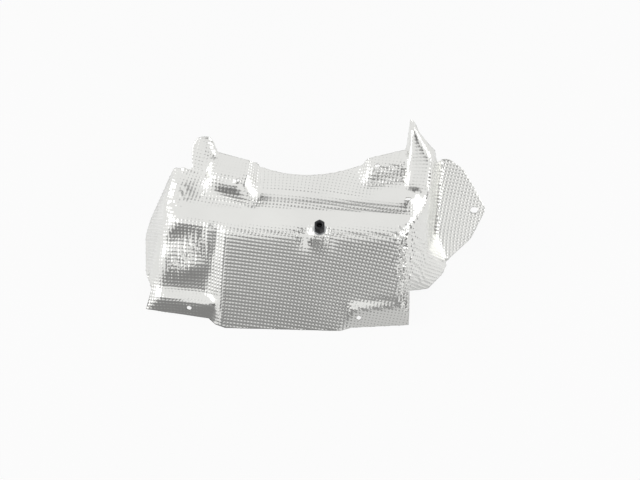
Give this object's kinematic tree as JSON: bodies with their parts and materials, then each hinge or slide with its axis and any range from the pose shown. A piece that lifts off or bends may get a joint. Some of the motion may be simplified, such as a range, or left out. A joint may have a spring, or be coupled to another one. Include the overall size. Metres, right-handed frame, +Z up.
{
  "type": "fuel tank heat shield",
  "caption": "Pressed, dimple-embossed aluminium heat shield with raised pads, bolt flanges, a sloping side wing and a riveted hex standoff, shielding a fuel tank from exhaust heat.",
  "frame": {"origin": "middle of the sheet's plan box, on the plane that its lower rims stand on", "axes": "+X along the shield towards the wing, +Y from the sloping front apron to the open back, +Z up through the raised plateau and pads"},
  "size_m": [0.4722, 0.2326, 0.16],
  "materials": {
    "embossed_aluminium": "bright embossed sheet",
    "zinc_steel": "zinc plated",
    "black_steel": "satin black"
  },
  "bodies": {
    "root": {"shield_sheet": "embossed_aluminium", "standoff_washer": "zinc_steel", "hex_standoff": "black_steel"}
  },
  "joints": []
}
